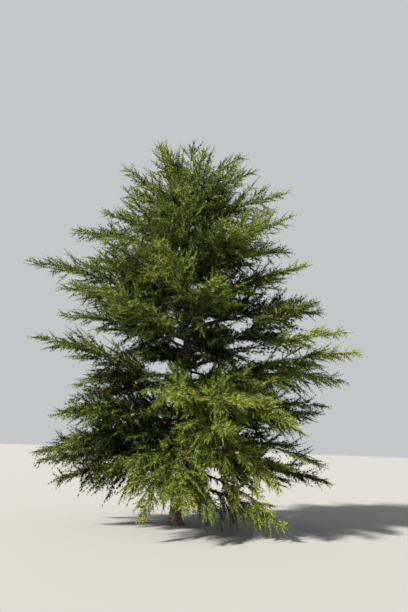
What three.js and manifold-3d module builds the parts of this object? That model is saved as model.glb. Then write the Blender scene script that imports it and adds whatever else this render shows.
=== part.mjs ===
// Atlas cedar, about 9.6 m tall: a gently leaning trunk with a flared foot, main boughs in tiers
// round it, and masses of needle sprays that carry every bough on to the outline of the crown.
// Millimetres, +Z up, +X to the viewer's right, -Y toward the viewer. The origin is the middle
// of the trunk's flat foot, at ground level.
import * as THREE from "three";
import { mergeVertices } from "three/addons/utils/BufferGeometryUtils.js";
import Module from "manifold-3d";

const wasm = await Module();
wasm.setup();

// Trunk.
const TRUNK_TOP = 8700;
const TRUNK_RADIUS = 135;
const TRUNK_TOP_RADIUS = 13;
const TRUNK_TAPER = 0.85;
const TRUNK_SIDES = 10;
const FLARE_RADIUS = 190;
const FLARE_HEIGHT = 260;
const FLARE_FALL = 2;
const FLARE_LOBES = 5;
const FLARE_LOBE_DEPTH = 22;
// How far the middle of the trunk leans off the upright: height, sideways, away.
const TRUNK_LEAN = [
  [0, 0, 0],
  [3540, 90, -40],
  [7700, -120, 50],
  [9600, 80, 0],
];
const TRUNK_RING_HEIGHTS = [0, 110, 260, 500, 1800, 3500, 5000, 6500, 7700, TRUNK_TOP];

// Tiers of limbs, from the ground up: height where they leave the trunk, how many, bearing of the
// first (0 is right, 90 away, 180 left, 270 toward the viewer), reach and height of the tips to the
// left and to the right, and the share of the limb that is bare bough.
const TIERS = [
  { base: 1150, count: 4, turn: -60, left: [2900, 900], right: [3400, 1150], bough: 0.36 },
  { base: 1950, count: 5, turn: -34, left: [3450, 1750], right: [3400, 2450], bough: 0.38 },
  { base: 2800, count: 5, turn: -6, left: [3300, 3600], right: [4100, 4050], bough: 0.38 },
  { base: 3700, count: 5, turn: 32, left: [3250, 4700], right: [3750, 5000], bough: 0.36 },
  { base: 4600, count: 5, turn: -20, left: [3200, 5900], right: [3000, 5950], bough: 0 },
  { base: 5550, count: 5, turn: 18, left: [2900, 6950], right: [2900, 6950], bough: 0 },
  { base: 6500, count: 4, turn: -12, left: [2250, 8000], right: [2650, 8050], bough: 0 },
  { base: 7350, count: 3, turn: 50, left: [1550, 8800], right: [2150, 8850], bough: 0 },
  { base: 8050, count: 3, turn: -24, left: [1000, 9300], right: [1650, 9200], bough: 0 },
];
// A limb rises more steeply at the trunk than at its tip, by twice this many degrees.
const LIMB_ARCH = 7;
// The leader carries the trunk on to the top: its stem, and the sprays round it by place along it,
// bearing, rise and scale.
const LEADER_LENGTH = 430;
const LEADER_RISE = 90;
const LEADER_TIP_RISE = 84;
const LEADER_SPRAY_LENGTH = 460;
const LEADER_SEED = 97;
const LEADER_SPRAYS = [
  { at: 0.3, bearing: 20, rise: 42, scale: 1.25 },
  { at: 0.45, bearing: 200, rise: 46, scale: 1.1 },
  { at: 0.6, bearing: 110, rise: 50, scale: 1 },
  { at: 0.72, bearing: 290, rise: 54, scale: 1 },
];
// Single limbs that stand out of their tier: by tier and place in it, what differs.
const FEATURES = {
  "1/0": { bearing: 312, reach: 3250, tipHeight: 480 },
  "1/1": { bearing: 3, reach: 3700, tipHeight: 1180 },
  "1/2": { bearing: 82 },
  "2/0": { reach: 3300, tipHeight: 1600 },
  "2/1": { bearing: 18, reach: 3750, tipHeight: 2900 },
  "2/4": { bearing: 266, reach: 3050, tipHeight: 780 },
  "3/0": { reach: 4100, tipHeight: 4150 },
  "3/2": { bearing: 160, reach: 2900, tipHeight: 2850 },
  "3/3": { reach: 3700, tipHeight: 4100 },
  "3/4": { reach: 3300, tipHeight: 2650 },
  "5/3": { reach: 3850, tipHeight: 5950 },
};
const BEARING_JITTER = 7;
// Limbs leave the trunk spread over this height about their tier, in steps of the golden ratio.
const TIER_CLIMB = 620;
const GOLDEN_STEP = 0.618;
const TIP_CLIMB = 0.8;
const REACH_JITTER = 0.05;
const SWEEP_JITTER = 14;

// Limbs: radius at the trunk as a share of the trunk's, and at the tip.
const BOUGH_SHARE_OF_TRUNK = 0.42;
const ROOT_INSET = 1;
const STEM_TIP_RADIUS = 6;
const AXIS_STEPS = 12;
const LINE_STEP = 0.02;
const UPRIGHT_LIMIT = 1e-4;
const BOUGH_SIDES = 5;
const BOUGH_STEPS = 3;
const STEM_SIDES = 3;
const STEM_STEPS = 3;

// Sprays: a slim three-sided core with needled shoots that stand out of it in a spiral, toward its
// tip. Their length follows the limb's reach, between these.
const SPRAY_LENGTH_SHORT = 760;
const SPRAY_LENGTH_LONG = 1350;
const SHORT_REACH = 1000;
const LONG_REACH = 4000;
const SPRAY_SIDES = 3;
const SPRAY_RINGS = 5;
// Its core and its shoots as shares of its length, the core thicker by this share at its root, and
// how far shoots stand forward and vary.
const SPRAY_CORE = 0.07;
const SPRAY_CORE_ROOT = 1.2;
const SPRAY_SHOOT = 0.38;
const SPRAY_SHOOT_FORWARD = 0.13;
const SPRAY_SHOOT_JITTER = 0.3;
// Where on half a wave a spray's shoots begin and end, from narrow to wide and back.
const SPRAY_ROOT_TAPER = 0.18;
const SPRAY_TIP_TAPER = 0.95;
const SPRAY_FLATTEN = 0.8;
const SPRAY_DROOP = 0.1;
const SPRAY_OVERLAP = 60;
const SPRAY_SCALES = [1, 0.8, 0.62];

// Places on a mass's stem or fork: share of the way, side (1 left, -1 right, 0 on top), degrees
// off its line and above it, and scale of the spray.
const STEM_SPRAYS = [
  { at: 0.46, side: 1, angle: 44, lift: 12, scale: 0.9 },
  { at: 0.66, side: -1, angle: 42, lift: -8, scale: 0.84 },
  { at: 0.28, side: 0, angle: 16, lift: 46, scale: 0.86 },
  { at: 0.7, side: 0, angle: 10, lift: 36, scale: 0.74 },
  { at: 0.16, side: -1, angle: 74, lift: 30, scale: 0.7 },
];
const FORK_SPRAYS = [{ at: 0.5, side: 1, angle: 40, lift: 28, scale: 0.76 }];
const FORKS = [
  { at: 0.12, side: 1, angle: 46, lift: 3 },
  { at: 0.22, side: -1, angle: 46, lift: 3 },
];
const FORK_LENGTH = 0.62;
const FORK_STEPS = 1;
const FORK_THICKNESS = 0.7;
const FORK_CURL = -16;
const FORK_TIP_LIFT = 0.5;
const FORK_RISE_JITTER = 5;
const FORK_TIP_JITTER = 6;
const FORK_SPRAY_SCALE = 0.9;
const LIFT_JITTER = 12;
const FORK_SEED_STEP = 100;
const SPRAY_SEED_STEP = 1000;

// Room: gap between solids that meet, room between masses, and lowest point of any spray.
const CLEARANCE = 0.3;
const SPACE_MARGIN = 26;
const GROUND_ROOM = 60;

const FULL_TURN = 360;
const DEGREES = Math.PI / 180;
const BEARING_WORDS = [
  "right",
  "back_right",
  "back",
  "back_left",
  "left",
  "front_left",
  "front",
  "front_right",
];

const barkMaterial = new THREE.MeshStandardMaterial({ color: 0x6d5e52, roughness: 0.9, metalness: 0 });
const foliageMaterial = new THREE.MeshStandardMaterial({ color: 0x4f6a2a, roughness: 0.75, metalness: 0 });

// A repeatable number from 0 to 1 for a seed and a place in its series.
function chance(seed, place) {
  const wave = Math.sin(seed * 12.9898 + place * 78.233) * 43758.5453;
  return wave - Math.floor(wave);
}

function spread(seed, place) {
  return 2 * chance(seed, place) - 1;
}

function lerp(from, to, share) {
  return from + (to - from) * share;
}

// The trunk's middle at a height, eased from one named lean to the next.
function trunkMiddle(height) {
  const last = TRUNK_LEAN.length - 2;
  let row = 0;
  while (row < last && height > TRUNK_LEAN[row + 1][0]) row += 1;
  const [lowZ, lowX, lowY] = TRUNK_LEAN[row];
  const [highZ, highX, highY] = TRUNK_LEAN[row + 1];
  const share = THREE.MathUtils.smoothstep(height, lowZ, highZ);
  return new THREE.Vector3(lerp(lowX, highX, share), lerp(lowY, highY, share), height);
}

function trunkRadius(height, angle = 0) {
  const taper = lerp(TRUNK_RADIUS, TRUNK_TOP_RADIUS, Math.min(1, height / TRUNK_TOP) ** TRUNK_TAPER);
  const flare = Math.exp(-((height / FLARE_HEIGHT) ** 2) * FLARE_FALL);
  const lobes = FLARE_LOBE_DEPTH * Math.cos(FLARE_LOBES * angle);
  return taper + flare * (FLARE_RADIUS - TRUNK_RADIUS + lobes);
}

function directionOf(bearing, rise) {
  const level = Math.cos(rise * DEGREES);
  return new THREE.Vector3(
    level * Math.cos(bearing * DEGREES),
    level * Math.sin(bearing * DEGREES),
    Math.sin(rise * DEGREES),
  );
}

// A bent axis: points at even steps whose bearing and rise change evenly on the way.
function growAxis({ start, bearing, sweep, rise, tip, length, steps }) {
  const points = [start.clone()];
  for (let step = 0; step < steps; step += 1) {
    const share = (step + 0.5) / steps;
    const stride = directionOf(bearing + sweep * share, lerp(rise, tip, share));
    points.push(points[step].clone().addScaledVector(stride, length / steps));
  }
  return points;
}

function pointAlong(points, share) {
  const place = THREE.MathUtils.clamp(share, 0, 1) * (points.length - 1);
  const step = Math.min(points.length - 2, Math.floor(place));
  return points[step].clone().lerp(points[step + 1], place - step);
}

function headingAlong(points, share) {
  const place = THREE.MathUtils.clamp(share, 0, 1) * (points.length - 1);
  const step = Math.min(points.length - 2, Math.floor(place));
  const stride = points[step + 1].clone().sub(points[step]).normalize();
  return {
    bearing: Math.atan2(stride.y, stride.x) / DEGREES,
    rise: Math.asin(stride.z) / DEGREES,
  };
}

// The word for the eighth of a turn that a bearing lies in.
function bearingWord(bearing) {
  const eighths = Math.round((bearing / FULL_TURN + 1) * BEARING_WORDS.length);
  return BEARING_WORDS[eighths % BEARING_WORDS.length];
}

// Every limb of the tree: its axis from the middle of the trunk to the tip of its stem.
function growLimbs() {
  const limbs = [];
  TIERS.forEach((tier, tierIndex) => {
    for (let place = 0; place < tier.count; place += 1) {
      const climb = TIER_CLIMB * (((limbs.length * GOLDEN_STEP) % 1) - 0.5);
      const seed = (tierIndex + 1) * 10 + place;
      const feature = FEATURES[`${tierIndex + 1}/${place}`] ?? {};
      const evenBearing = tier.turn + (FULL_TURN / tier.count) * place;
      const { bearing = evenBearing + BEARING_JITTER * spread(seed, 1) } = feature;
      const toRight = (1 + Math.cos(bearing * DEGREES)) / 2;
      const evenReach = lerp(tier.left[0], tier.right[0], toRight) * (1 + REACH_JITTER * spread(seed, 2));
      const evenHeight = lerp(tier.left[1], tier.right[1], toRight) + TIP_CLIMB * climb;
      const { reach = evenReach, tipHeight = evenHeight } = feature;
      const sprayLength = sprayLengthFor(reach);
      const start = trunkMiddle(tier.base + climb);
      const slope = Math.atan2(tipHeight - start.z, reach) / DEGREES;
      const rise = slope + LIMB_ARCH;
      const tip = slope - LIMB_ARCH;
      const stemReach = reach - (sprayLength - SPRAY_OVERLAP) * Math.cos(tip * DEGREES);
      const length = stemReach / Math.cos(slope * DEGREES);
      const sweep = SWEEP_JITTER * spread(seed, 4);
      limbs.push({
        name: `tier${tierIndex + 1}_${bearingWord(bearing)}`,
        seed,
        boughShare: tier.bough,
        baseRadius: BOUGH_SHARE_OF_TRUNK * trunkRadius(start.z),
        length,
        sprayLength,
        axis: growAxis({ start, bearing, sweep, rise, tip, length, steps: AXIS_STEPS }),
      });
    }
  });
  const start = trunkMiddle(TRUNK_TOP).add(new THREE.Vector3(0, 0, CLEARANCE));
  const upright = { bearing: 0, sweep: 0, rise: LEADER_RISE, tip: LEADER_TIP_RISE };
  limbs.push({
    name: "leader",
    seed: LEADER_SEED,
    boughShare: 0,
    baseRadius: TRUNK_TOP_RADIUS,
    length: LEADER_LENGTH,
    sprayLength: LEADER_SPRAY_LENGTH,
    axis: growAxis({ start, ...upright, length: LEADER_LENGTH, steps: AXIS_STEPS }),
  });
  return limbs;
}

function sprayLengthFor(reach) {
  const share = THREE.MathUtils.clamp((reach - SHORT_REACH) / (LONG_REACH - SHORT_REACH), 0, 1);
  return lerp(SPRAY_LENGTH_SHORT, SPRAY_LENGTH_LONG, share);
}

function distanceToPath(point, path) {
  let nearest = Infinity;
  for (let step = 0; step + 1 < path.length; step += 1) {
    const along = path[step + 1].clone().sub(path[step]);
    const offset = point.clone().sub(path[step]);
    const share = THREE.MathUtils.clamp(offset.dot(along) / along.lengthSq(), 0, 1);
    nearest = Math.min(nearest, offset.addScaledVector(along, -share).length());
  }
  return nearest;
}

// A limb's own space is what lies nearer its axis than any other limb's, clear of wood and ground.
function insideOwnSpace(points, limb, limbs) {
  const bough = limb.axis.slice(0, Math.ceil(limb.boughShare * AXIS_STEPS) + 1);
  return points.every((point) => {
    if (point.z < GROUND_ROOM) return false;
    if (point.z < TRUNK_TOP) {
      const offTrunk = point.distanceTo(trunkMiddle(point.z));
      if (offTrunk < trunkRadius(point.z) + SPACE_MARGIN) return false;
    }
    if (limb.boughShare > 0 && distanceToPath(point, bough) < limb.baseRadius + SPACE_MARGIN) return false;
    const own = distanceToPath(point, limb.axis);
    return limbs.every((other) => {
      if (other === limb) return true;
      const away = distanceToPath(point, other.axis);
      return away > own + SPACE_MARGIN && away > other.baseRadius + SPACE_MARGIN;
    });
  });
}

function toSolid(geometry) {
  geometry.deleteAttribute("normal");
  geometry.deleteAttribute("uv");
  const merged = mergeVertices(geometry);
  return new wasm.Manifold(
    new wasm.Mesh({
      numProp: 3,
      vertProperties: new Float32Array(merged.attributes.position.array),
      triVerts: new Uint32Array(merged.index.array),
    }),
  );
}

function toGeometry(solid) {
  const mesh = solid.getMesh();
  const geometry = new THREE.BufferGeometry();
  geometry.setAttribute("position", new THREE.BufferAttribute(mesh.vertProperties, 3));
  geometry.setIndex(new THREE.BufferAttribute(mesh.triVerts, 1));
  return geometry;
}

// Which way an axis runs at a share of it.
function lineAt(points, share) {
  return pointAlong(points, share + LINE_STEP).sub(pointAlong(points, share - LINE_STEP)).normalize();
}

// A closed tapering limb along part of an axis: a cylinder whose rings are laid square across it.
function limbSolid({ axis, from, to, startRadius, endRadius, sides, steps }) {
  const geometry = new THREE.CylinderGeometry(1, 1, 1, sides, steps);
  const vertices = geometry.attributes.position;
  for (let index = 0; index < vertices.count; index += 1) {
    const share = vertices.getY(index) + 0.5;
    const along = lineAt(axis, lerp(from, to, share));
    const across = new THREE.Vector3(0, 0, 1).cross(along);
    if (across.lengthSq() < UPRIGHT_LIMIT) across.set(0, 1, 0);
    across.normalize();
    const up = across.clone().cross(along);
    const radius = lerp(startRadius, endRadius, share);
    const point = pointAlong(axis, lerp(from, to, share))
      .addScaledVector(across, vertices.getX(index) * radius)
      .addScaledVector(up, vertices.getZ(index) * radius);
    vertices.setXYZ(index, point.x, point.y, point.z);
  }
  return toSolid(geometry);
}

function trunkSolid(extra = 0) {
  const geometry = new THREE.CylinderGeometry(1, 1, 1, TRUNK_SIDES, TRUNK_RING_HEIGHTS.length - 1);
  const vertices = geometry.attributes.position;
  for (let index = 0; index < vertices.count; index += 1) {
    const ring = Math.round((vertices.getY(index) + 0.5) * (TRUNK_RING_HEIGHTS.length - 1));
    const height = TRUNK_RING_HEIGHTS[ring];
    const x = vertices.getX(index);
    const y = -vertices.getZ(index);
    const reach = Math.hypot(x, y) * (trunkRadius(height, Math.atan2(y, x)) + extra);
    const middle = trunkMiddle(height);
    const angle = Math.atan2(y, x);
    vertices.setXYZ(index, middle.x + reach * Math.cos(angle), middle.y + reach * Math.sin(angle), height);
  }
  return toSolid(geometry);
}

// A spray where it stands: its corners in the tree's frame, and how its solid is made.
function placeSpray({ root, bearing, rise, roll, length, seed }) {
  const along = directionOf(bearing, rise);
  const across = new THREE.Vector3(0, 0, 1).cross(along).normalize();
  const down = across.clone().cross(along);
  const geometry = new THREE.SphereGeometry(1, SPRAY_SIDES, SPRAY_RINGS + 1);
  const vertices = geometry.attributes.position;
  const corners = [];
  for (let index = 0; index < vertices.count; index += 1) {
    const ring = SPRAY_RINGS + 1 - Math.floor(index / (SPRAY_SIDES + 1));
    const side = (index % (SPRAY_SIDES + 1)) % SPRAY_SIDES;
    const isEnd = ring === 0 || ring > SPRAY_RINGS;
    const isShoot = !isEnd && (ring - side + SPRAY_SIDES) % SPRAY_SIDES === 0;
    const share = ring / (SPRAY_RINGS + 1) + (isShoot ? SPRAY_SHOOT_FORWARD : 0);
    const taper = Math.sin(Math.PI * lerp(SPRAY_ROOT_TAPER, SPRAY_TIP_TAPER, share));
    const shoot = SPRAY_SHOOT * taper * (1 - SPRAY_SHOOT_JITTER * chance(seed, ring));
    const radius = isEnd ? 0 : length * (isShoot ? shoot : SPRAY_CORE * (SPRAY_CORE_ROOT - share));
    const angle = (side / SPRAY_SIDES) * 2 * Math.PI + roll * DEGREES;
    const corner = root
      .clone()
      .addScaledVector(along, share * length)
      .addScaledVector(across, -Math.cos(angle) * radius)
      .addScaledVector(down, Math.sin(angle) * radius * SPRAY_FLATTEN);
    corner.z -= SPRAY_DROOP * length * share * share;
    vertices.setXYZ(index, corner.x, corner.y, corner.z);
    if (ring > 0) corners.push(corner);
  }
  return { corners, make: () => toSolid(geometry) };
}

// The sprays round the leader, besides the one at its tip.
function leaderSprays(path) {
  return LEADER_SPRAYS.map((place, index) => ({
    root: pointAlong(path, place.at),
    bearing: place.bearing,
    rise: place.rise,
    roll: FULL_TURN * chance(LEADER_SEED, 30 + index),
    length: LEADER_SPRAY_LENGTH * place.scale,
    seed: LEADER_SEED + index + 1,
  }));
}

// The sprays of a stem or fork: one that carries on from its tip, and those along it.
function spraysAlong(path, places, seed, length) {
  const heading = headingAlong(path, 1);
  const back = directionOf(heading.bearing, heading.rise).multiplyScalar(-SPRAY_OVERLAP);
  const tipSpray = {
    root: pointAlong(path, 1).add(back),
    bearing: heading.bearing,
    rise: heading.rise,
    roll: FULL_TURN * chance(seed, 11),
    length,
    seed,
  };
  const sideSprays = places.map((place, index) => {
    const turn = headingAlong(path, place.at);
    return {
      root: pointAlong(path, place.at),
      bearing: turn.bearing + place.side * place.angle,
      rise: turn.rise + place.lift + LIFT_JITTER * spread(seed, 20 + index),
      roll: FULL_TURN * chance(seed, 30 + index),
      length: length * place.scale,
      seed: seed + SPRAY_SEED_STEP * (index + 1),
    };
  });
  return [tipSpray, ...sideSprays];
}

// A limb's wood starts well inside the trunk, and is then cut clear of it.
function rootShare(limb) {
  return (ROOT_INSET * limb.baseRadius) / limb.length;
}

// The straight stretches that a limb's solid follows between two shares of its axis.
function stretches(limb, from, to, steps) {
  const points = [];
  for (let step = 0; step <= steps; step += 1) {
    points.push(pointAlong(limb.axis, lerp(from, to, step / steps)));
  }
  return points;
}

// One mass: a stem on from the bough, its forks, and sprays along and at the end of each.
function foliageSolid(limb, limbs, trunkRoom) {
  const onBough = limb.boughShare > 0;
  const isLeader = limb.name === "leader";
  const boughEnd = limb.boughShare + CLEARANCE / limb.length;
  const stemStart = isLeader ? 0 : onBough ? boughEnd : rootShare(limb);
  const stem = stretches(limb, stemStart, 1, STEM_STEPS);
  const stemLength = limb.length * (1 - stemStart);
  const startRadius = lerp(limb.baseRadius, STEM_TIP_RADIUS, stemStart);
  const wood = { to: 1, endRadius: STEM_TIP_RADIUS, sides: STEM_SIDES };
  const pieces = [
    limbSolid({ ...wood, axis: limb.axis, from: stemStart, startRadius, steps: STEM_STEPS }),
  ];
  const addSprays = (sprays) => {
    for (const spray of sprays) {
      const fitting = SPRAY_SCALES.map((scale) => placeSpray({ ...spray, length: spray.length * scale }));
      const placed = fitting.find((choice) => insideOwnSpace(choice.corners, limb, limbs));
      if (placed) pieces.push(placed.make());
    }
  };
  if (isLeader) {
    addSprays([...spraysAlong(stem, [], limb.seed, limb.sprayLength), ...leaderSprays(stem)]);
    return wasm.Manifold.union(pieces);
  }
  addSprays(spraysAlong(stem, STEM_SPRAYS, limb.seed, limb.sprayLength));
  FORKS.forEach((fork, place) => {
    const seed = limb.seed + FORK_SEED_STEP * (place + 1);
    const heading = headingAlong(stem, fork.at);
    const path = growAxis({
      start: pointAlong(stem, fork.at),
      bearing: heading.bearing + fork.side * fork.angle,
      sweep: fork.side * FORK_CURL,
      rise: heading.rise + fork.lift + FORK_RISE_JITTER * spread(seed, 5),
      tip: heading.rise + fork.lift * FORK_TIP_LIFT + FORK_TIP_JITTER * spread(seed, 6),
      length: stemLength * (1 - fork.at) * FORK_LENGTH,
      steps: FORK_STEPS,
    });
    if (!insideOwnSpace(path.slice(1), limb, limbs)) return;
    const forkRadius = lerp(startRadius, STEM_TIP_RADIUS, fork.at) * FORK_THICKNESS;
    pieces.push(
      limbSolid({ ...wood, axis: path, from: 0, startRadius: forkRadius, steps: FORK_STEPS }),
    );
    const places = FORK_SPRAYS.map((spray) => ({ ...spray, side: fork.side }));
    addSprays(spraysAlong(path, places, seed, limb.sprayLength * FORK_SPRAY_SCALE));
  });
  const mass = wasm.Manifold.union(pieces);
  return onBough ? mass : mass.subtract(trunkRoom);
}

function boughSolid(limb, trunkRoom) {
  const bough = limbSolid({
    axis: limb.axis,
    from: rootShare(limb),
    to: limb.boughShare,
    startRadius: limb.baseRadius,
    endRadius: lerp(limb.baseRadius, STEM_TIP_RADIUS, limb.boughShare),
    sides: BOUGH_SIDES,
    steps: BOUGH_STEPS,
  });
  return bough.subtract(trunkRoom);
}

function addNode(group, name, solid, material) {
  const mesh = new THREE.Mesh(toGeometry(solid), material);
  mesh.name = name;
  group.add(mesh);
}

const tree = new THREE.Group();
tree.name = "atlas_cedar";
const limbs = growLimbs();
const trunkRoom = trunkSolid(CLEARANCE);
addNode(tree, "trunk", trunkSolid(), barkMaterial);
for (const limb of limbs) {
  if (limb.boughShare > 0) addNode(tree, `${limb.name}_bough`, boughSolid(limb, trunkRoom), barkMaterial);
  addNode(tree, `${limb.name}_foliage`, foliageSolid(limb, limbs, trunkRoom), foliageMaterial);
}

export default tree;
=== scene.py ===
import math
from itertools import compress

import bpy
import numpy as np
from mathutils import Matrix, Vector


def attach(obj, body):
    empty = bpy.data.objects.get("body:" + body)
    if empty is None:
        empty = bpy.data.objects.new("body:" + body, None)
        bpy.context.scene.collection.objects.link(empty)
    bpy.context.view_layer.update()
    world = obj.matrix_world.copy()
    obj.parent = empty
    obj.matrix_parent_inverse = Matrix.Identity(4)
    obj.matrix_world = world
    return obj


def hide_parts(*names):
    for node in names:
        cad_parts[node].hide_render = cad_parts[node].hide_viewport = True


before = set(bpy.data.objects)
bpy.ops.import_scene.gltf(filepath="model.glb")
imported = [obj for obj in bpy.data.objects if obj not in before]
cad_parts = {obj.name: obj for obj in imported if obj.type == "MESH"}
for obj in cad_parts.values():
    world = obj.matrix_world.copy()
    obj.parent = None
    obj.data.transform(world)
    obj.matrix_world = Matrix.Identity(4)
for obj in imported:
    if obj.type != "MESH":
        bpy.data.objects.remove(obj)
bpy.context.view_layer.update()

# Steps of the numbers that stand for chance, so that every run gives the same tree.
SEED_STEP = 12.9898
PLACE_STEP = 78.233
WAVE_HEIGHT = 43758.5453
SEEDS_PER_TIER = 10
SEEDS_PER_LIMB = 50

# Trunk: its true taper, flared foot and lean, the same as the solid's.
TRUNK_TOP = 8.7
TRUNK_RADIUS = 0.135
TRUNK_TOP_RADIUS = 0.013
TRUNK_TAPER = 0.85
FLARE_RADIUS = 0.19
FLARE_HEIGHT = 0.26
FLARE_FALL = 2
FLARE_LOBES = 5
FLARE_LOBE_DEPTH = 0.022
TRUNK_LEAN = np.array([[0, 0, 0], [3.54, 0.09, -0.04], [7.7, -0.12, 0.05], [9.6, 0.08, 0]])

# Tiers of limbs: height on the trunk, how many, bearing of the first, reach and height of the tips
# to the left and to the right, and the share of the limb that is bare bough.
TIER_KEYS = ("base", "count", "turn", "left", "right", "bough")
TIER_ROWS = [
    (1.15, 4, -60, (2.9, 0.9), (3.4, 1.15), 0.36),
    (1.95, 5, -34, (3.45, 1.75), (3.4, 2.45), 0.38),
    (2.8, 5, -6, (3.3, 3.6), (4.1, 4.05), 0.38),
    (3.7, 5, 32, (3.25, 4.7), (3.75, 5.0), 0.36),
    (4.6, 5, -20, (3.2, 5.9), (3.0, 5.95), 0),
    (5.55, 5, 18, (2.9, 6.95), (2.9, 6.95), 0),
    (6.5, 4, -12, (2.25, 8.0), (2.65, 8.05), 0),
    (7.35, 3, 50, (1.55, 8.8), (2.15, 8.85), 0),
    (8.05, 3, -24, (1.0, 9.3), (1.65, 9.2), 0),
]
TIERS = [dict(zip(TIER_KEYS, row)) for row in TIER_ROWS]
# Limbs whose tips stand out, by tier and place: bearing, reach and height of the tip, how far the
# branches hang in degrees, how much painted light (above nought) or painted shade (below) brightens
# or darkens their needles, and how much of other limbs' width they have. None leaves a value to the rule.
FEATURE_KEYS = ("bearing", "reach", "tip_height", "hang", "tone", "slim")
FEATURES = {
    (1, 0): (311, 3.05, 0.52, 26, 0.2),
    (1, 1): (3, 3.7, 1.18),
    (1, 2): (82,),
    (1, 3): (None, None, None, 20, -0.1),
    (2, 0): (None, 3.3, 1.6),
    (2, 1): (18, 3.75, 2.9, None, -0.1),
    (2, 3): (None, None, None, 10, -0.1),
    (2, 4): (266, 3.05, 0.78, 18, 0.2),
    (3, 0): (None, 4.1, 4.15, 5, 0.28, 0.75),
    (3, 1): (None, None, None, None, -0.2),
    (3, 2): (160, 2.9, 2.85, None, -0.1),
    (3, 3): (None, 3.62, 4.14),
    (3, 4): (None, 3.3, 2.65, 9.5, 0.2),
    (4, 0): (None, None, None, 5, -0.3),
    (4, 4): (None, None, None, 5, -0.26, 0.8),
    (5, 3): (None, 3.85, 5.95),
    # Between the solid's own limbs: front fans that sweep down to the ground, the broad bough low
    # on the right, the low mass on the left and the shoulders of the crown.
    (1.25, 0): (228, 2.3, 1.3, 8, -0.05),
    (1.25, 1): (270, 2.3, 0.8, 18, 0.2),
    (1.25, 2): (308, 2.8, 0.72, 28, 0.2),
    (1.5, 2): (166, 2.9, 1.75, None, -0.1),
    (1.5, 3): (258, 2.8, 0.6, 18, 0.2),
    (1.5, 4): (287, 2.85, 0.66, 18, 0.2),
    (1.75, 0): (196, 3.15, 1.5, 8, -0.1),
    (1.75, 1): (246, 2.5, 1.35, 16),
    (1.75, 4): (303, 2.5, 0.95, 14, 0.12),
    (2.25, 0): (212, 3.0, 1.85, 10, -0.1),
    (2.25, 1): (287, 3.15, 2.2, 15, 0.28),
    (2.5, 0): (340, 3.35, 2.9, None, -0.1, 0.85),
    (2.5, 3): (None, None, None, 10, -0.1),
    (2.5, 4): (299, 3.05, 1.15, 28, 0.2),
    (2.75, 0): (192, 3.0, 2.45, None, -0.1),
    (2.75, 1): (318, 3.0, 2.2, 10, 0.2),
    (3.5, 0): (338, 3.72, 3.42, 9, 0.1, 0.95),
    (3.5, 2): (None, 2.8, 3.2),
    (3.5, 3): (262, 2.85, 2.65, 9.5, 0.2),
    (3.5, 4): (308, 3.1, 2.3, 10, 0.2),
    (3.75, 0): (345, 3.85, 4.45, 5, 0.28, 0.6),
    (4.5, 0): (None, None, None, 5, -0.25, 0.8),
    (4.5, 4): (None, 3.4, 5.2, None, -0.22),
    (4.75, 0): (350, 3.0, 5.2, None, -0.2),
    (4.75, 2): (192, 3.1, 5.3),
    (6.5, 2): (186, 2.95, 7.05),
    (6.5, 4): (None, 2.8, 7.2),
    (8, 2): (None, None, 8.5),
    (8.5, 2): (5, 1.9, 9.0),
}
# Between two tiers grow as many limbs again, shorter, that the solid's masses stand for.
BETWEEN_REACH = 0.9
BETWEEN_SEED = 200
# Over every one of these storeys grow short limbs that fill the crown near the trunk.
INNER_REACH = 0.56
INNER_CLIMB = 0.22
INNER_SEED = 500
# Painted sunlight: needles get a brighter tint on the limbs of the sunny side.
SUNNY_SIDE = 265
SUNNY_PAINTED_LIGHT = 0.06
# The shoot that carries the trunk on to the top of the tree, as one more limb.
LEADER = {
    "name": "leader",
    "tier": len(TIERS),
    "seed": 97,
    "bough": 0,
    "inner": False,
    "crown_reach": 0.43,
    "hang": 0,
    "tone": 0,
    "slim": 1,
    "base_radius": TRUNK_TOP_RADIUS,
    "spray_length": 0.52,
    "bearing": 0,
    "sweep": 0,
    "rise": 90,
    "tip": 84,
    "length": 0.43,
}
# The solid's rule for every limb: how it arches, strays, tapers and ends in a spray.
LIMB_ARCH = 7
BEARING_JITTER = 7
TIER_CLIMB = 0.62
GOLDEN_STEP = 0.618
TIP_CLIMB = 0.8
REACH_JITTER = 0.05
SWEEP_JITTER = 14
BOUGH_SHARE_OF_TRUNK = 0.42
STEM_TIP_RADIUS = 0.006
AXIS_STEPS = 12
SPRAY_REACHES = (1.0, 4.0)
SPRAY_LENGTHS = (0.76, 1.35)
SPRAY_DROOP = 0.1
SPRAY_OVERLAP = 0.06
SPRAY_SCALES = (1, 0.8, 0.62)
FULL_TURN = 360
BEARING_WORDS = ["right", "back_right", "back", "back_left", "left", "front_left", "front", "front_right"]

# Finer growth on every limb: its line to the outermost tip, then side branches in two rows and a
# row that stands up, then shoots along every branch, and tufts of needles along every shoot.
LIMB_STEPS = 20
BRANCH_STEPS = 4
SHOOT_STEPS = 1
TIP_RADIUS = 0.002
BRANCH_SPACING = 0.1
FAN_SPACING = 0.068
FAN_HANG = 9
BRANCH_SHARE = 0.52
BRANCH_LEAST = 0.1
BRANCH_LENGTH_STRAY = 0.18
BRANCH_FULLNESS = 0.55
BRANCH_FULLNESS_GAIN = 3
BRANCH_ANGLES = (60, 38)
BRANCH_ANGLE_STRAY = 6
BRANCH_CURL = -16
BRANCH_RISES = (-70, 80)
BRANCH_TIP_STRAY = 8
BRANCH_TIP_HANG = 0.4
BRANCH_THICKNESS = 0.5
BRANCH_RADII = (0.004, 0.011)
UPPER_SEED = 500
UPPER_SPACING = 0.17
FAN_UPPER_SPACING = 0.12
UPPER_SHARE = 0.34
UPPER_FULLNESS = 0.7
UPPER_LENGTH_STRAY = 0.5
UPPER_ANGLE = 30
UPPER_LIFTS = (16, 60)
LOWER_LIFTS = (-14, -48)
LOWER_CHANCE = (0.25, 0.5)
END_SEED = 900
END_START = 0.34
FAN_END_START = 0.1
LEADER_BRANCHES = 11
LEADER_BRANCH_PLACES = (0.08, 0.92)
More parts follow.
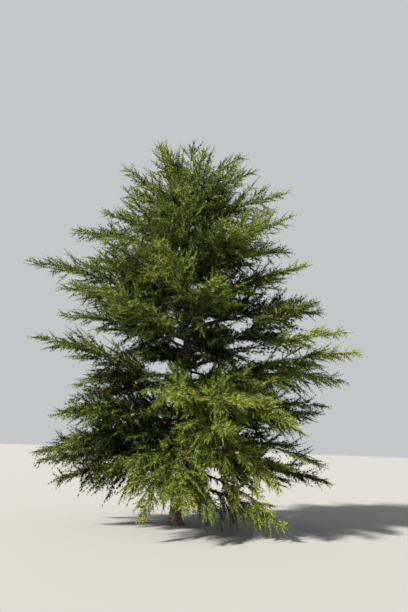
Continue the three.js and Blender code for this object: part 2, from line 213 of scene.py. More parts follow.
LEADER_BRANCH_RISES = (38.0, 62.0)
LEADER_BRANCH_LENGTHS = (0.62, 0.16)
LEAST_SHOOTS = 2
SHOOT_SEED_STEP = 3.7
SHOOT_SPACING = 0.066
SHOOT_PLACE_STRAY = 0.6
SHOOT_START = 0.08
END_SHOOT_START = 0.5
SHOOT_LENGTHS = (0.27, 0.13)
SHOOT_LENGTH_LEAST = 0.75
SHOOT_LENGTH_STRAY = 0.5
FULL_BRANCH = 0.8
LEAST_SHOOT_SIZE = 0.42
SHOOT_ANGLES = (60, 42)
SHOOT_CURL = -12
SHOOT_WANDER = 18
SHOOT_TURN = 137.5
SHOOT_TURN_STRAY = 40
SHOOT_RISES = (-75, 82)
SHOOT_TIP_STRAY = 10
SHOOT_DROOP_SHARE = 0.5
SHOOT_RADIUS = 0.003
# How many sides the wood of stems, branches and shoots has.
WOOD_SIDES = (7, 3, 3)
TIP_MERGE = 0.00002
# At the foot of the crown and at its top: where on a limb its branches start, how far they stray
# from its plane, how much of its slope they keep, how far branches and shoots bend down to their
# tips, and how far shoots stand above and below a spray.
BRANCH_START = (0.24, 0.08)
BRANCH_WANDER = (12, 30)
SLOPE_KEPT = (0.3, 0.75)
BRANCH_DROOP = (12, -4)
SHOOT_DROOP = (8, 0)
SHOOT_LIFT = (16, 36)
CROWDING = 0.3
GROUND_ROOM = 0.06
# Room inside the solid's reach for the last shoots, and how far a shoot may pass the outline.
TIP_ROOM = 0.12
OUTLINE_ROOM = 0.06
OWN_LIMB_ROOM = 0.22
CROWN_TOP = 9.5
NEAR_AXIS = 0.01

# Bark: scaly plates, longer up the wood than round it, parted by cracks. The colours of a plate and
# of a crack, a plate's width, how many times as long it is and the depth of the relief. Last, painted
# shade of the crown: where up the wood its colour starts to darken, where that ends, and how much of
# its brightness is left.
BARKS = {
    "trunk_bark": ((0.34, 0.285, 0.22), (0.045, 0.034, 0.025), 0.034, 2.8, 0.006, (0.4, 1.6, 0.4)),
    "bough_bark": ((0.115, 0.09, 0.062), (0.03, 0.022, 0.015), 0.03, 1.4, 0.0025, (0, 1, 1)),
    "twig_bark": ((0.09, 0.07, 0.045), (0.04, 0.03, 0.02), 0.02, 1.0, 0, (0, 1, 1)),
}
TRUNK_SIDES = 96
FOOT_RING_STEP = 0.012
FOOT_RINGS_TOP = 1.2
TRUNK_RING_STEP = 0.06
BOUGH_SIDES = 14
BOUGH_RING_STEP = 0.035
BOUGH_BENDS = 8
COLLAR_SWELL = 0.35
COLLAR_LENGTH = 0.1
CRACK_WANDER = 0.06
CRACK_WANDER_SCALE = 11
CRACK_WANDER_DETAIL = 5
CRACK_WIDTH = 0.24
PLATE_RISE = 0.35
CRACK_SHADE_WIDTH = 0.3
CRACK_LIGHT = 0.35
SHADE_STOPS = (0.1, 0.62)
BARK_ROUGHNESS = 0.92
MOTTLE_SCALE = 1.6
MOTTLE_DETAIL = 5
MOTTLE_ROUGHNESS = 0.65
WRINKLE_SCALE = 9
WRINKLE_DETAIL = 4
WRINKLE_STRENGTH = 0.6
WRINKLE_DEPTH = 0.04

# Needles, in tufts on their spur shoots, larger than life so that fewer are needed.
TUFT_SPACING = 0.048
TUFT_NEEDLES = 6
NEEDLE_LENGTH = 0.06
NEEDLE_LENGTH_STRAY = 0.15
NEEDLE_WIDTH = 0.017
TUFT_SIZES = (0.86, 1.22)
NEEDLE_LEANS = (30, 50)
NEEDLE_LEAN_STRAY = 8
NEEDLE_STRAY = 0.3
NEEDLE_TWIST = 40
# Toward a shoot's tip its needles close up and point forward.
TIP_SLIM_START = 0.4
TIP_SLIM = 0.46
# Deep in the crown the tufts are fewer and larger.
DEEP_SPACING = 0.082
DEEP_SCALE = 1.5
# Tints of the needles from deep in the crown outward, then that of the few shoots that turn ochre.
# A shoot's tint comes from how far out and how high it is, from its limb's painted light, and from
# chance. Darker deep in the crown and low down, brighter outside and high up: partly the needles'
# own age and new growth, partly painted shade and painted sunlight.
NEEDLE_TINTS = {
    "deep": (0.012, 0.019, 0.003),
    "green": (0.056, 0.08, 0.009),
    "bright": (0.13, 0.175, 0.024),
    "pale": (0.215, 0.25, 0.045),
    "ochre": (0.19, 0.155, 0.036),
}
TINT_STEPS = (0.28, 0.52, 0.86)
AGE_AND_SHADE_BY_REACH = 0.6
GROWTH_AND_LIGHT_BY_HEIGHT = 0.4
TINT_BRANCH_STRAY = 0.14
TINT_SHOOT_STRAY = 0.22
OCHRE_SHARE = 0.09
NEEDLE_ROUGHNESS = 0.7
NEEDLE_SHINE = 0.12
# Regions of the crown and their tiers, from the first up to but without the second.
REGIONS = {"lowest": (1, 3), "lower": (3, 5), "middle": (5, 7), "upper": (7, 10)}

# Camera: a standing viewer's eye, with the lens that the photograph was taken with.
EYE = np.array([0.0, -12.77, 1.6])
CAMERA_TILT = 14.93
CAMERA_YAW = 2.12
CAMERA_ROLL = 2.0
SENSOR = 36.0
FRAME_HEIGHT = 612
FOCAL_PIXELS = 540
FAR_CLIP = 5000

# Stage: a wide pale floor, a soft sun from the front left and a plain sky.
FLOOR_HALF = 1500
FLOOR_DEPTH = 0.001
FLOOR_COLOUR = (0.23, 0.227, 0.219)
FLOOR_ROUGHNESS = 0.9
SUN_STRENGTH = 13.5
SUN_WIDTH = 4
SUN_COLOUR = (1, 0.96, 0.88)
SUN_FROM = (-0.7, -0.42, 0.6)
SKY_COLOUR = (0.85, 0.87, 0.89)
SKY_STRENGTH = 0.65

# Gaps that the viewer sees through the crown: middle and half size, across and up, on the trunk's
# plane. Then how ragged they are, and the skyline above which nothing grows.
SKY_GAPS = [
    (-0.58, 3.36, 0.25, 0.24),
    (-0.15, 4.1, 0.15, 0.09),
    (0.36, 3.75, 0.1, 0.12),
    (0.66, 4.64, 0.14, 0.09),
    (1.33, 4.63, 0.33, 0.2),
    (1.62, 3.97, 0.56, 0.24),
    (-0.01, 0.1, 0.16, 0.2),
    (0.86, 0.87, 0.14, 0.34),
    (1.57, 0.66, 0.1, 0.24),
    (2.26, 1.6, 0.24, 0.13),
]
GAP_EDGE = (0.5, 0.85)
SKYLINE = 9.56
SKYLINE_JITTER = 0.16


def chance(seed, place):
    """A repeatable number from 0 to 1 for a seed and a place in its series."""
    wave = np.sin(np.asarray(seed) * SEED_STEP + np.asarray(place) * PLACE_STEP) * WAVE_HEIGHT
    return wave - np.floor(wave)


def spread(seed, place):
    return 2 * chance(seed, place) - 1


def lerp(start, end, share):
    return start + (end - start) * share


def at_height(height, ends):
    """A measure of the growth that changes from the foot of the crown to its top."""
    return lerp(*ends, np.clip(height / CROWN_TOP, 0, 1))


def smooth(share):
    share = np.clip(share, 0, 1)
    return share * share * (3 - 2 * share)


def trunk_middle(height):
    """The trunk's middle at a height, eased from one named lean to the next."""
    height = np.asarray(height, float)
    row = np.clip(np.searchsorted(TRUNK_LEAN[:, 0], height) - 1, 0, len(TRUNK_LEAN) - 2)
    low, high = TRUNK_LEAN[row], TRUNK_LEAN[row + 1]
    share = smooth((height - low[..., 0]) / (high[..., 0] - low[..., 0]))
    side = lerp(low[..., 1], high[..., 1], share)
    away = lerp(low[..., 2], high[..., 2], share)
    return np.stack([side, away, height], -1)


def trunk_radius(height, angle=0.0):
    taper = lerp(TRUNK_RADIUS, TRUNK_TOP_RADIUS, np.clip(height / TRUNK_TOP, 0, 1) ** TRUNK_TAPER)
    flare = np.exp(-((height / FLARE_HEIGHT) ** 2) * FLARE_FALL)
    lobes = FLARE_LOBE_DEPTH * np.cos(FLARE_LOBES * angle)
    return taper + flare * (FLARE_RADIUS - TRUNK_RADIUS + lobes)


def direction_of(bearing, rise):
    bearing, rise = np.radians(bearing), np.radians(rise)
    return np.stack([np.cos(rise) * np.cos(bearing), np.cos(rise) * np.sin(bearing), np.sin(rise)], -1)


def grow_paths(start, bearing, sweep, rise, tip, length, steps):
    """Bent lines, one for each start: bearing and rise change evenly on the way."""
    share = (np.arange(steps) + 0.5) / steps
    bearings = bearing[:, None] + sweep[:, None] * share
    strides = direction_of(bearings, lerp(rise[:, None], tip[:, None], share))
    strides = strides * (length / steps)[:, None, None]
    return start[:, None] + np.concatenate([np.zeros((len(start), 1, 3)), strides.cumsum(1)], 1)


def steps_at(paths, row, share):
    place = np.clip(share, 0, 1) * (paths.shape[1] - 1)
    step = np.minimum(place.astype(int), paths.shape[1] - 2)
    return paths[row, step], paths[row, step + 1], place - step


def point_on(paths, row, share):
    low, high, rest = steps_at(paths, row, share)
    return lerp(low, high, rest[:, None])


def heading_on(paths, row, share):
    """Bearing and rise of a path at a share of it."""
    low, high, _ = steps_at(paths, row, share)
    stride = high - low
    rise = np.degrees(np.arcsin(stride[:, 2] / np.linalg.norm(stride, axis=1)))
    return np.degrees(np.arctan2(stride[:, 1], stride[:, 0])), rise


def even_steps(path, steps):
    """The same line with its points at even distances."""
    along = np.concatenate([[0], np.linalg.norm(np.diff(path, axis=0), axis=1).cumsum()])
    places = np.linspace(0, along[-1], steps + 1)
    return np.stack([np.interp(places, along, path[:, k]) for k in range(3)], -1), along[-1]


def spray_length_for(reach):
    short, long = SPRAY_REACHES
    return lerp(*SPRAY_LENGTHS, np.clip((reach - short) / (long - short), 0, 1))


def tip_of(tier, to_right):
    """Reach and height of a tier's tips, from those at the left to those at the right."""
    return [lerp(left, right, to_right) for left, right in zip(tier["left"], tier["right"])]


def limb_of(tier, number, place, seed, climb):
    """One limb by the solid's rule: its axis from the middle of the trunk to the tip of its stem."""
    feature = zip(FEATURE_KEYS, FEATURES.get((number, place), ()))
    feature = {key: value for key, value in feature if value is not None}
    part = tier.get("part", 1)
    bearing = tier["turn"] + FULL_TURN / tier["count"] * place + BEARING_JITTER * spread(seed, 1)
    bearing = feature.get("bearing", bearing)
    to_right = (1 + math.cos(math.radians(bearing))) / 2
    reach, tip_height = tip_of(tier, to_right)
    reach = feature.get("reach", reach * (1 + REACH_JITTER * spread(seed, 2)))
    whole_reach = reach if "reach" in feature else reach / part
    tip_height = feature.get("tip_height", tip_height + TIP_CLIMB * climb)
    spray_length = spray_length_for(reach)
    start = trunk_middle(tier["base"] + climb)
    slope = math.degrees(math.atan2(tip_height - start[2], reach))
    tip = slope - LIMB_ARCH
    stem_reach = reach - (spray_length - SPRAY_OVERLAP) * math.cos(math.radians(tip))
    eighth = round((bearing / FULL_TURN + 1) * len(BEARING_WORDS)) % len(BEARING_WORDS)
    return {
        "name": f"tier{number}_{BEARING_WORDS[eighth]}",
        "tier": number,
        "seed": seed,
        "bough": tier["bough"],
        "inner": part < 1,
        "crown_reach": whole_reach,
        "hang": feature.get("hang", 0),
        # Painted light and shade of the limb's needles, with painted sunlight on the sunny side.
        "tone": feature.get("tone", 0) + SUNNY_PAINTED_LIGHT * math.cos(math.radians(bearing - SUNNY_SIDE)),
        "slim": feature.get("slim", 1),
        "base_radius": BOUGH_SHARE_OF_TRUNK * trunk_radius(start[2]),
        "spray_length": spray_length,
        "start": start,
        "bearing": bearing,
        "sweep": SWEEP_JITTER * spread(seed, 4),
        "rise": slope + LIMB_ARCH,
        "tip": tip,
        "length": stem_reach / math.cos(math.radians(slope)),
    }


def shortened(tier, part):
    """The same tier with limbs that end at a part of their reach."""
    tier = dict(tier)
    for side in ("left", "right"):
        reach, height = tier[side]
        tier[side] = (part * reach, lerp(tier["base"], height, part))
    return tier


def inner_tier(tier):
    """Short limbs a little above a tier, turned by half a space."""
    inner = shortened(tier, INNER_REACH)
    inner["part"] = INNER_REACH
    inner["base"] = tier["base"] + INNER_CLIMB
    inner["turn"] = tier["turn"] + FULL_TURN / tier["count"] / 2
    inner["bough"] = 0
    return inner


def between(low, high):
    """A tier of shorter limbs half way from one tier to the next, turned by half a space."""
    tier = {"count": max(low["count"], high["count"]), "bough": 0}
    tier["base"] = (low["base"] + high["base"]) / 2
    tier["turn"] = low["turn"] + FULL_TURN / tier["count"] / 2
    for side in ("left", "right"):
        tier[side] = (np.array(low[side]) + np.array(high[side])) / 2
    return shortened(tier, BETWEEN_REACH)


def grow_limbs():
    """Every limb: the solid's tiers, those between them, the short inner ones and the leader."""
    own = [(number, SEEDS_PER_TIER * number, tier) for number, tier in enumerate(TIERS, 1)]
    halves = [
        (number + 0.5, BETWEEN_SEED + SEEDS_PER_TIER * number, between(*pair))
        for number, pair in enumerate(zip(TIERS, TIERS[1:]), 1)
    ]
    inner = [
        (number + 0.25, INNER_SEED + int(2 * SEEDS_PER_TIER * number), inner_tier(tier))
        for number, _, tier in own[:-1] + halves
    ]
    limbs = []
    for number, seed, tier in own + halves + inner:
        for place in range(tier["count"]):
            climb = TIER_CLIMB * (len(limbs) * GOLDEN_STEP % 1 - 0.5)
            limbs.append(limb_of(tier, number, place, seed + place, climb))
    limbs.append({**LEADER, "start": trunk_middle(TRUNK_TOP)})
    keys = ("bearing", "sweep", "rise", "tip", "length")
    axes = grow_paths(of_each(limbs, "start"), *(of_each(limbs, key) for key in keys), AXIS_STEPS)
    share = np.linspace(0, 1, LIMB_STEPS // 2)[1:, None]
    for limb, axis in zip(limbs, axes):
        limb["axis"] = axis
        heading = (axis[-1] - axis[-2]) / np.linalg.norm(axis[-1] - axis[-2])
        length = limb["spray_length"] - TIP_ROOM
        shoot = axis[-1] + heading * (length * share - SPRAY_OVERLAP)
        shoot[:, 2] -= SPRAY_DROOP * length * share[:, 0] ** 2
        limb["line"], limb["reach"] = even_steps(np.concatenate([axis, shoot]), LIMB_STEPS)
    return limbs


def of_each(limbs, key):
    """One value of every limb."""
    return np.array([limb[key] for limb in limbs])


def limb_distances(points, axes):
    """How far every point is from every limb's axis: a row for each limb."""
    low, along = axes[:, None, :-1], np.diff(axes, axis=1)[:, None]
    offset = points[None, :, None] - low
    share = np.clip((offset * along).sum(-1) / (along**2).sum(-1), 0, 1)
    return np.linalg.norm(offset - along * share[..., None], axis=-1).min(-1)


def in_own_space(points, owner, axes, inner):
    """Nearer its own limb's axis than any other's, and clear of the ground and the trunk."""
    away = limb_distances(points, axes)
    column = np.arange(len(points))
    own = away[owner, column]
    own[inner[owner]] = 0
    away[inner] = np.inf
    away[owner, column] = np.inf
    off_trunk = np.linalg.norm(points - trunk_middle(points[:, 2]), axis=1)
    clear = (points[:, 2] > TRUNK_TOP) | (off_trunk > trunk_radius(points[:, 2]))
    return (away.min(0) > own - CROWDING) & (points[:, 2] > GROUND_ROOM) & clear


def in_sky_gap(points, seed, gaps=SKY_GAPS):
    """True where the viewer's line to a point passes over the crown or through a ragged gap."""
    share = EYE[1] / (EYE[1] - points[:, 1])
    across = lerp(EYE[0], points[:, 0], share)
    up = lerp(EYE[2], points[:, 2], share)
    found = up > SKYLINE + SKYLINE_JITTER * spread(seed, 22)
    edge = GAP_EDGE[0] + GAP_EDGE[1] * chance(seed, 21)
    for middle_x, middle_z, half_x, half_z in gaps:
        found |= ((across - middle_x) / half_x) ** 2 + ((up - middle_z) / half_z) ** 2 < edge
    return found


def branch_places(limbs):
    """Where every branch leaves its limb: limb, share of it, side, angle, lift, length and seed.

    The leader, the last limb, has its own."""
    rows = []
    for index, limb in enumerate(limbs[:-1]):
        reach = limb["reach"]
        height = limb["line"][LIMB_STEPS // 2, 2]
        first = at_height(height, BRANCH_START)
        count = int((1 - first) * reach / (FAN_SPACING if limb["hang"] else BRANCH_SPACING))
        for place in range(count):
            seed = limb["seed"] * SEEDS_PER_LIMB + place
            share = lerp(first, 1, (place + chance(seed, 3)) / count)
            fullness = min(1, BRANCH_FULLNESS + BRANCH_FULLNESS_GAIN * (share - first))
            length = BRANCH_LEAST + limb["slim"] * BRANCH_SHARE * reach * (1 - share) * fullness
            length *= 1 + BRANCH_LENGTH_STRAY * spread(seed, 4)
            side = 1 if place % 2 else -1
            angle = lerp(*BRANCH_ANGLES, share) + BRANCH_ANGLE_STRAY * spread(seed, 5)
            lift = at_height(height, BRANCH_WANDER) * spread(seed, 6)
            rows.append((index, share, side, angle, lift, length, seed))
        spacing = FAN_UPPER_SPACING if limb["hang"] > FAN_HANG else UPPER_SPACING
        for place in range(int((1 - first) * reach / spacing)):
            seed = limb["seed"] * SEEDS_PER_LIMB + UPPER_SEED + place
            share = first + (place + chance(seed, 3)) * spacing / reach
            fullness = UPPER_FULLNESS + UPPER_LENGTH_STRAY * chance(seed, 4)
            length = BRANCH_LEAST + UPPER_SHARE * reach * (1 - share) * fullness
            below = chance(seed, 7) < at_height(height, LOWER_CHANCE)
            lift = lerp(*(LOWER_LIFTS if below else UPPER_LIFTS), chance(seed, 6))
            side = 1 if place % 2 else -1
            rows.append((index, share, side, UPPER_ANGLE * chance(seed, 5), lift, length, seed))
    return [np.array(column) for column in zip(*rows)]


def leader_places(leader_index):
    """Branches that ring the leader, steeper and shorter toward its tip.

    Gives limb, share of it, bearing, rise, length, seed, side and hang."""
    place = np.arange(LEADER_BRANCHES)
    share = lerp(*LEADER_BRANCH_PLACES, place / LEADER_BRANCHES)
    rise = lerp(*LEADER_BRANCH_RISES, share)
    length = lerp(*LEADER_BRANCH_LENGTHS, share)
    seed = LEADER["seed"] * SEEDS_PER_LIMB + place
    none = np.zeros(LEADER_BRANCHES)
    return np.full(LEADER_BRANCHES, leader_index), share, SHOOT_TURN * place, rise, length, seed, none, none


def limb_ends(limbs):
    """The outer part of each limb's own line, which shoots clothe as they do a branch."""
    starts = [FAN_END_START if limb["hang"] > FAN_HANG else END_START for limb in limbs]
    starts = [int(start * LIMB_STEPS) for start in starts]
    rows = [even_steps(limb["line"][start:], BRANCH_STEPS) for limb, start in zip(limbs, starts)]
    count = len(limbs)
    return {
        "owner": np.arange(count),
        "seed": of_each(limbs, "seed") * SEEDS_PER_LIMB + END_SEED,
        "length": np.array([length for _, length in rows]),
        "radius": np.zeros(count),
        "paths": np.array([path for path, _ in rows]),
    }


def outline_height(points):
    """How high the crown is over each point: the tips of the tiers, from the top down and outward."""
    away = np.linalg.norm(points[:, :2], axis=1)
    to_right = (1 + points[:, 0] / np.maximum(away, NEAR_AXIS)) / 2
    inner_reach, inner_height = 0.0, np.full(len(points), CROWN_TOP)
    height = np.zeros(len(points))
    for tier in TIERS[::-1]:
        reach, tip = tip_of(tier, to_right)
        here = (away >= inner_reach) & (away < reach)
        share = (away - inner_reach) / np.maximum(reach - inner_reach, NEAR_AXIS)
        height = np.where(here, np.maximum(height, lerp(inner_height, tip, share)), height)
        inner_reach, inner_height = reach, tip
    return height


def in_outline(points, owner, limbs):
    """Inside the crown's outline or close to its own limb, and clear of the ground."""
    lines = of_each(limbs, "line")[owner]
    by_limb = np.linalg.norm(points[:, None] - lines, axis=-1).min(1) < OWN_LIMB_ROOM
    inside = points[:, 2] < outline_height(points) + OUTLINE_ROOM
    return (inside | by_limb) & (points[:, 2] > GROUND_ROOM) & (points[:, 2] < CROWN_TOP)


def grow_branches(limbs):
    """Every branch as a bent line, shorter or none where it has no room, and the limbs' own ends."""
    lines = of_each(limbs, "line")
    axes = of_each(limbs, "axis")
    inner = of_each(limbs, "inner")
    owner, share, side, angle, lift, length, seed = branch_places(limbs)
    height = point_on(lines, owner, share)[:, 2]
    bearing, rise = heading_on(lines, owner, share)
    hang = of_each(limbs, "hang")[owner] * 2 * chance(seed, 8)
    rise = np.clip(rise * at_height(height, SLOPE_KEPT) + lift - hang, *BRANCH_RISES)
    on_limbs = (owner, share, bearing + side * angle, rise, length, seed, side, hang)
    columns = zip(on_limbs, leader_places(len(limbs) - 1))
    owner, share, bearing, rise, length, seed, side, hang = map(np.concatenate, columns)
    start = point_on(lines, owner, share)
    droop = at_height(start[:, 2], BRANCH_DROOP)
    tip = rise - droop + BRANCH_TIP_STRAY * spread(seed, 7) - BRANCH_TIP_HANG * hang
    paths = np.zeros((len(owner), BRANCH_STEPS + 1, 3))
    kept = np.zeros(len(owner))
    for scale in SPRAY_SCALES:
        grown = grow_paths(start, bearing, BRANCH_CURL * side, rise, tip, length * scale, BRANCH_STEPS)
        fits = kept == 0
        for step in range(1, BRANCH_STEPS + 1):
            fits &= ~in_sky_gap(grown[:, step], seed)
        for step in (BRANCH_STEPS // 2, BRANCH_STEPS):
            fits &= in_own_space(grown[:, step], owner, axes, inner)
        paths[fits] = grown[fits]
        kept[fits] = scale
    found = kept > 0
    radius = of_each(limbs, "base_radius")[owner]
    radius = np.clip(BRANCH_THICKNESS * lerp(radius, STEM_TIP_RADIUS, share), *BRANCH_RADII)
    ends = limb_ends(limbs)
    columns = {"owner": owner, "seed": seed, "length": length * kept, "radius": radius, "paths": paths}
    return {key: np.concatenate([column[found], ends[key]]) for key, column in columns.items()}


def grow_shoots(limbs, branches):
    """Shoots in two rows along every branch, some of them lifted, and one at its tip."""
    counts = (1 - SHOOT_START) * branches["length"] / SHOOT_SPACING
    counts = np.maximum(LEAST_SHOOTS, counts.astype(int))
    row = np.repeat(np.arange(len(counts)), counts)
    place = np.arange(len(row)) - np.repeat(np.cumsum(counts) - counts, counts)
    last = place == counts[row] - 1
    seed = branches["seed"][row] * SHOOT_SEED_STEP + place
    share = lerp(SHOOT_START, 1, (place + SHOOT_PLACE_STRAY * chance(seed, 1)) / counts[row])
    share[last] = 1
    start = point_on(branches["paths"], row, share)
    bearing, rise = heading_on(branches["paths"], row, share)
    turn = np.radians(SHOOT_TURN * place + SHOOT_TURN_STRAY * spread(seed, 3))
    side = np.cos(turn) * ~last
    side = np.sign(side) * np.sqrt(np.abs(side))
    bearing = bearing + side * lerp(*SHOOT_ANGLES, share) + SHOOT_WANDER * spread(seed, 2)
    lift = at_height(start[:, 2], SHOOT_LIFT) * np.sin(turn) * ~last + SHOOT_WANDER * spread(seed, 4)
    droop = at_height(start[:, 2], SHOOT_DROOP)
    rise = np.clip(rise + lift - SHOOT_DROOP_SHARE * droop, *SHOOT_RISES)
    tip = rise - droop + SHOOT_TIP_STRAY * spread(seed, 5)
    size = np.clip(branches["length"][row] / FULL_BRANCH, LEAST_SHOOT_SIZE, 1)
    growth = SHOOT_LENGTH_LEAST + SHOOT_LENGTH_STRAY * chance(seed, 6)
    length = lerp(*SHOOT_LENGTHS, share) * size * growth
    paths = grow_paths(start, bearing, SHOOT_CURL * side, rise, tip, length, SHOOT_STEPS)
    paths[last, 0] = point_on(branches["paths"], row[last], np.full(last.sum(), END_SHOOT_START))
    owner = branches["owner"][row]
    kept = in_outline(paths[:, -1], owner, limbs)
    on_limb = branches["radius"][row] == 0
    kept &= on_limb | ~(in_sky_gap(paths[:, -1], seed) | in_sky_gap(start, seed))
    kept &= ~in_sky_gap(paths[:, -1], seed, gaps=[])
    columns = {"row": row, "owner": owner, "seed": seed, "last": last, "paths": paths}
    return {key: column[kept] for key, column in columns.items()}


def in_scene(name, data):
    """A new object in the scene."""
    item = bpy.data.objects.new(name, data)
    bpy.context.scene.collection.objects.link(item)
    return item


def line_object(name, paths, measures, attribute="thickness"):
    """Loose lines with a measure at each point, as the start of a Geometry Nodes piece."""
    points = np.concatenate([path.reshape(-1, 3) for path in paths])
    values = np.concatenate([measure.ravel() for measure in measures]).astype(np.float32)
    edges, first = [], 0
    for path in paths:
        corners = first + np.arange(path[..., 0].size).reshape(path.shape[:2])
        edges.append(np.stack([corners[:, :-1], corners[:, 1:]], -1).reshape(-1, 2))
        first += corners.size
    edges = np.concatenate(edges)
    mesh = bpy.data.meshes.new(name)
    mesh.vertices.add(len(points))
    mesh.vertices.foreach_set("co", points.astype(np.float32).ravel())
    mesh.edges.add(len(edges))
    mesh.edges.foreach_set("vertices", edges.astype(np.int32).ravel())
    mesh.attributes.new(attribute, "FLOAT", "POINT").data.foreach_set("value", values)
    mesh.update()
    return in_scene(name, mesh)


def new_node(tree, kind, inputs=None, **settings):
    """A node with its settings, and with values on its inputs by their name or place."""
    node = tree.nodes.new(kind)
    for name, value in settings.items():
        setattr(node, name, value)
    for label, value in (inputs or {}).items():
        node.inputs[label].default_value = value
    return node


def connect(tree, *links):
    """Links nodes: rows of a node, its output if that isn't the first, a node and its input."""
    for giver, *output, taker, label in links:
        tree.links.new(giver.outputs[output[0] if output else 0], taker.inputs[label])


def new_tree(name, inputs):
    """A Geometry Nodes tree with named inputs, and the node that gives them."""
    tree = bpy.data.node_groups.new(name, "GeometryNodeTree")
    for label, kind in {"Geometry": "Geometry", **inputs}.items():
        tree.interface.new_socket(label, in_out="INPUT", socket_type=f"NodeSocket{kind}")
    tree.interface.new_socket("Geometry", in_out="OUTPUT", socket_type="NodeSocketGeometry")
    return tree, new_node(tree, "NodeGroupInput")


def end_tree(tree, given, last, material):
    """Ends a tree: its instances are made real and take the material that is given."""
    whole = new_node(tree, "GeometryNodeRealizeInstances")
    finish = new_node(tree, "GeometryNodeSetMaterial")
    result = new_node(tree, "NodeGroupOutput")
    connect(
        tree,
        (last, whole, "Geometry"),
        (whole, finish, "Geometry"),
        (given, material, finish, "Material"),
        (finish, result, "Geometry"),
    )
    return tree


def wood_tree():
    """Lines become tapering round wood, as thick as each point says."""
    tree, given = new_tree("twig_wood", {"Sides": "Int", "Bark": "Material"})
    curve = new_node(tree, "GeometryNodeMeshToCurve")
    ring = new_node(tree, "GeometryNodeCurvePrimitiveCircle", {"Radius": 1})
    thickness = new_node(tree, "GeometryNodeInputNamedAttribute", {"Name": "thickness"})
    tube = new_node(tree, "GeometryNodeCurveToMesh", {"Fill Caps": True})
    pointed = new_node(tree, "GeometryNodeMergeByDistance", {"Distance": TIP_MERGE})
    smooth_faces = new_node(tree, "GeometryNodeSetShadeSmooth")
    connect(
        tree,
        (given, curve, "Mesh"),
        (given, "Sides", ring, "Resolution"),
        (curve, tube, "Curve"),
        (ring, tube, "Profile Curve"),
        (thickness, tube, "Scale"),
        (tube, pointed, "Geometry"),
        (pointed, smooth_faces, "Geometry"),
    )
    return end_tree(tree, given, smooth_faces, "Bark")


def bark_plates(tree, place, output):
    """The pattern of plates, the same in relief and in colour: squeezed up the wood, then bent.

    Returns the node that squeezes it and the one that gives the distance to a plate's edge."""
    squeezed = new_node(tree, "ShaderNodeVectorMath", operation="MULTIPLY")
    wandering = {"Scale": CRACK_WANDER_SCALE, "Detail": CRACK_WANDER_DETAIL}
    wander = new_node(tree, "ShaderNodeTexNoise", wandering)
    bend = new_node(tree, "ShaderNodeVectorMath", {"Scale": CRACK_WANDER}, operation="SCALE")
    warped = new_node(tree, "ShaderNodeVectorMath")
    plates = new_node(tree, "ShaderNodeTexVoronoi", feature="DISTANCE_TO_EDGE")
    connect(
        tree,
        (place, output, squeezed, 0),
        (squeezed, wander, "Vector"),
        (wander, "Color", bend, 0),
        (squeezed, warped, 0),
        (bend, warped, 1),
        (warped, plates, "Vector"),
    )
    return squeezed, plates


def bark_tree():
    """Round wood gets the relief of its bark: plates that stand out between sunken cracks."""
    inputs = {"Depth": "Float", "Plate Width": "Float", "Plate Stretch": "Float", "Bark": "Material"}
    tree, given = new_tree("bark_relief", inputs)
    squeezed, plates = bark_plates(tree, new_node(tree, "GeometryNodeInputPosition"), "Position")
    shrink = new_node(tree, "ShaderNodeMath", {0: 1}, operation="DIVIDE")
    flat = new_node(tree, "ShaderNodeCombineXYZ", {"X": 1, "Y": 1})
    fineness = new_node(tree, "ShaderNodeMath", {0: 1}, operation="DIVIDE")
    edge = {"From Max": CRACK_WIDTH, "To Min": -1, "To Max": PLATE_RISE}
    crack = new_node(tree, "ShaderNodeMapRange", edge, interpolation_type="SMOOTHSTEP")
    deep = new_node(tree, "ShaderNodeMath", operation="MULTIPLY")
    outward = new_node(tree, "GeometryNodeInputNormal")
    push = new_node(tree, "ShaderNodeVectorMath", operation="SCALE")
    moved = new_node(tree, "GeometryNodeSetPosition")
    smooth_faces = new_node(tree, "GeometryNodeSetShadeSmooth")
    connect(
        tree,
        (given, "Plate Stretch", shrink, 1),
        (shrink, flat, "Z"),
        (flat, squeezed, 1),
        (given, "Plate Width", fineness, 1),
        (fineness, plates, "Scale"),
        (plates, crack, "Value"),
        (crack, deep, 0),
        (given, "Depth", deep, 1),
        (outward, push, 0),
        (deep, push, "Scale"),
        (given, moved, "Geometry"),
        (push, moved, "Offset"),
        (moved, smooth_faces, "Geometry"),
    )
    return end_tree(tree, given, smooth_faces, "Bark")


def trunk_object():
    """The trunk as closed rings from its flat foot to its top, with the lobes of its root flare."""
    fine = np.arange(0, FOOT_RINGS_TOP, FOOT_RING_STEP)
    heights = np.concatenate([fine, np.arange(FOOT_RINGS_TOP, TRUNK_TOP, TRUNK_RING_STEP), [TRUNK_TOP]])
    angles = math.tau * np.arange(TRUNK_SIDES) / TRUNK_SIDES
    radius = trunk_radius(heights[:, None], angles)
    around = np.stack([np.cos(angles), np.sin(angles), np.zeros(TRUNK_SIDES)], -1)
    points = trunk_middle(heights)[:, None] + radius[..., None] * around
    rings = np.arange(len(heights) * TRUNK_SIDES).reshape(-1, TRUNK_SIDES)
    beside = np.roll(rings, -1, axis=1)
    faces = np.stack([rings[:-1], beside[:-1], beside[1:], rings[1:]], -1)
    foot, top = rings[0, ::-1].tolist(), rings[-1].tolist()
    mesh = bpy.data.meshes.new("trunk_bark")
    mesh.from_pydata(points.reshape(-1, 3), [], faces.reshape(-1, 4).tolist() + [foot, top])
    mesh.update()
    return in_scene("trunk_bark", mesh)


